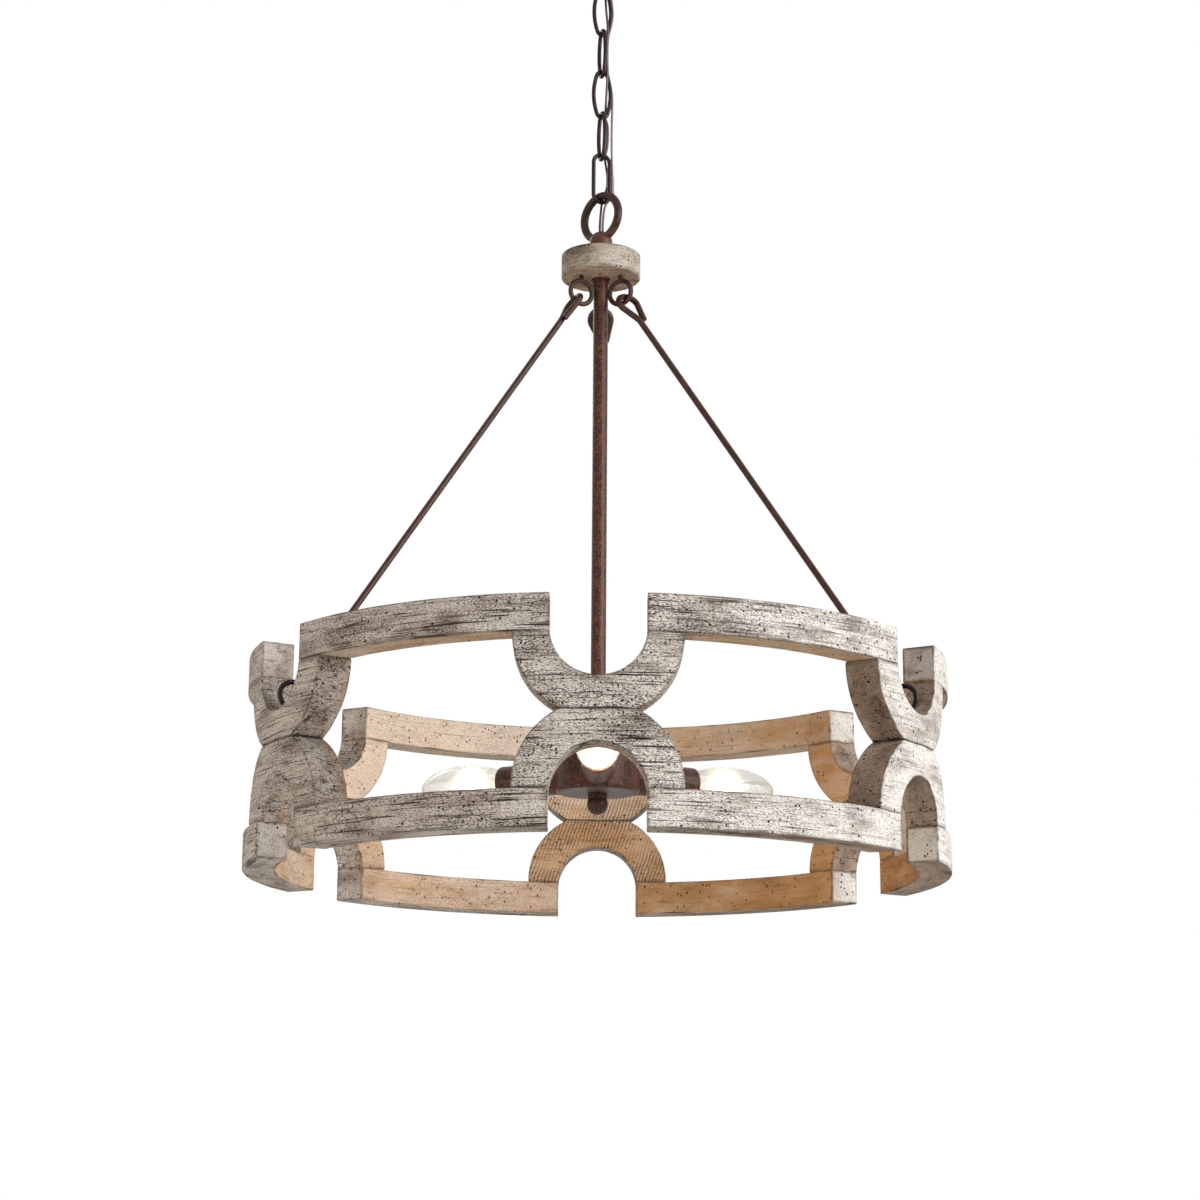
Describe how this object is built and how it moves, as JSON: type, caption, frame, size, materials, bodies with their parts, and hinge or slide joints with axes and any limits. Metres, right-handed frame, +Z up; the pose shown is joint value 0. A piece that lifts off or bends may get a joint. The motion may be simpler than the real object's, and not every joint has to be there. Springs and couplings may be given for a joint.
{
  "type": "chandelier",
  "caption": "Hanging chandelier: a round cage of curved whitewashed timber bars and arches on slim rods and a chain, with candle lights on a central hub.",
  "frame": {"origin": "centre of the crossbar's slotted hole pattern, in the ceiling plane on the vertical axis", "axes": "+Z up; -Y towards the light and the post that face the viewer; +X to the viewer's right"},
  "size_m": [0.61, 0.61, 0.8941],
  "materials": {
    "rust_finish": "mottled rust brown, satin",
    "dark_iron": "dark brown, satin",
    "plain_steel": "plain zinc plated",
    "green_screw": "satin",
    "cord_plastic": "satin",
    "ring_timber": "whitewashed, worn and sawn",
    "disc_timber": "whitewashed, worn",
    "socket_plastic": "matte",
    "bulb_brass": "satin",
    "bulb_glass": "clear, polished"
  },
  "bodies": {
    "hanger": {"canopy_loop": "rust_finish", "nipple": "plain_steel", "lock_nut": "plain_steel", "crossbar": "plain_steel", "ground_screw": "green_screw", "cord_strand_inner": "cord_plastic", "cord_strand_outer": "cord_plastic"},
    "dish": {"canopy": "rust_finish", "collar_ring": "rust_finish"},
    "chain_5": {"link_5": "dark_iron"},
    "chain_4": {"link_4": "dark_iron"},
    "chain_3": {"link_3": "dark_iron"},
    "chain_2": {"link_2": "dark_iron"},
    "chain_1": {"link_1": "dark_iron", "cord_sleeve": "cord_plastic"},
    "fixture": {"fixture_loop": "rust_finish", "wood_disc": "disc_timber", "stem": "rust_finish", "stem_collar": "rust_finish", "disc_eyes": "rust_finish", "hub_dome": "rust_finish", "hub_plate": "plain_steel", "hub_nut": "plain_steel", "finial": "rust_finish", "socket_cups": "rust_finish", "socket_cores": "socket_plastic"},
    "right_rod": {"rod_right": "rust_finish"},
    "back_rod": {"rod_back": "rust_finish"},
    "left_rod": {"rod_left": "rust_finish"},
    "timber_ring": {"upper_bar_1": "ring_timber", "upper_bar_2": "ring_timber", "upper_bar_3": "ring_timber", "upper_bar_4": "ring_timber", "upper_bar_5": "ring_timber", "upper_bar_6": "ring_timber", "lower_bar_1": "ring_timber", "lower_bar_2": "ring_timber", "lower_bar_3": "ring_timber", "lower_bar_4": "ring_timber", "lower_bar_5": "ring_timber", "lower_bar_6": "ring_timber", "upper_yoke_1": "ring_timber", "upper_yoke_2": "ring_timber", "upper_yoke_3": "ring_timber", "upper_yoke_4": "ring_timber", "upper_yoke_5": "ring_timber", "upper_yoke_6": "ring_timber", "lower_arch_1": "ring_timber", "lower_arch_2": "ring_timber", "lower_arch_3": "ring_timber", "lower_arch_4": "ring_timber", "lower_arch_5": "ring_timber", "lower_arch_6": "ring_timber", "frame_eyes": "dark_iron"},
    "lamp_1": {"bulb_glass_1": "bulb_glass", "bulb_base_1": "bulb_brass"},
    "lamp_2": {"bulb_glass_2": "bulb_glass", "bulb_base_2": "bulb_brass"},
    "lamp_3": {"bulb_glass_3": "bulb_glass", "bulb_base_3": "bulb_brass"}
  },
  "joints": [
    {"name": "canopy_slide", "type": "slide", "parent": "hanger", "child": "dish", "axis": [0, 0, 1], "range_m": [-0.033, 0]},
    {"name": "swing_link_5", "type": "hinge", "parent": "hanger", "child": "chain_5", "pos_m": [0, 0, -0.0646], "axis": [-0.342, 0.9397, 0], "range_deg": [-12, 12], "deforming": ["cord_strand_inner", "cord_strand_outer"]},
    {"name": "swing_link_4", "type": "hinge", "parent": "chain_5", "child": "chain_4", "pos_m": [0, 0, -0.10505], "axis": [0.9397, 0.342, 0], "range_deg": [-12, 12]},
    {"name": "swing_link_3", "type": "hinge", "parent": "chain_4", "child": "chain_3", "pos_m": [0, 0, -0.14635], "axis": [-0.342, 0.9397, 0], "range_deg": [-12, 12]},
    {"name": "swing_link_2", "type": "hinge", "parent": "chain_3", "child": "chain_2", "pos_m": [0, 0, -0.18765], "axis": [0.9397, 0.342, 0], "range_deg": [-12, 12]},
    {"name": "swing_link_1", "type": "hinge", "parent": "chain_2", "child": "chain_1", "pos_m": [0, 0, -0.22895], "axis": [-0.342, 0.9397, 0], "range_deg": [-12, 12]},
    {"name": "swing_fixture", "type": "hinge", "parent": "chain_1", "child": "fixture", "pos_m": [0, 0, -0.27145], "axis": [0.9397, 0.342, 0], "range_deg": [-12, 12]},
    {"name": "ring_turn", "type": "hinge", "parent": "fixture", "child": "timber_ring", "pos_m": [0, 0, -0.803], "axis": [0, 0, 1], "range_deg": [-4, 4], "stiffness_Nm_per_rad": 0.45},
    {"name": "lean_right_rod", "type": "hinge", "parent": "fixture", "child": "right_rod", "pos_m": [0.02051, -0.01184, -0.36743], "axis": [0.718, -0.4146, 0.5591], "range_deg": [-2.6, 2.6]},
    {"name": "lean_back_rod", "type": "hinge", "parent": "fixture", "child": "back_rod", "pos_m": [0, 0.02369, -0.36743], "axis": [0, 0.8291, 0.5591], "range_deg": [-2.6, 2.6]},
    {"name": "lean_left_rod", "type": "hinge", "parent": "fixture", "child": "left_rod", "pos_m": [-0.02051, -0.01184, -0.36743], "axis": [-0.718, -0.4146, 0.5591], "range_deg": [-2.6, 2.6]},
    {"name": "bulb_1_out", "type": "slide", "parent": "fixture", "child": "lamp_1", "axis": [0, -1, 0], "range_m": [0, 0.025]},
    {"name": "bulb_2_out", "type": "slide", "parent": "fixture", "child": "lamp_2", "axis": [0.866, 0.5, 0], "range_m": [0, 0.025]},
    {"name": "bulb_3_out", "type": "slide", "parent": "fixture", "child": "lamp_3", "axis": [-0.866, 0.5, 0], "range_m": [0, 0.025]}
  ],
  "couplings": [
    {"joint": "lean_right_rod", "follows": "ring_turn", "ratio": 0.60924},
    {"joint": "lean_back_rod", "follows": "ring_turn", "ratio": 0.60924},
    {"joint": "lean_left_rod", "follows": "ring_turn", "ratio": 0.60924}
  ]
}
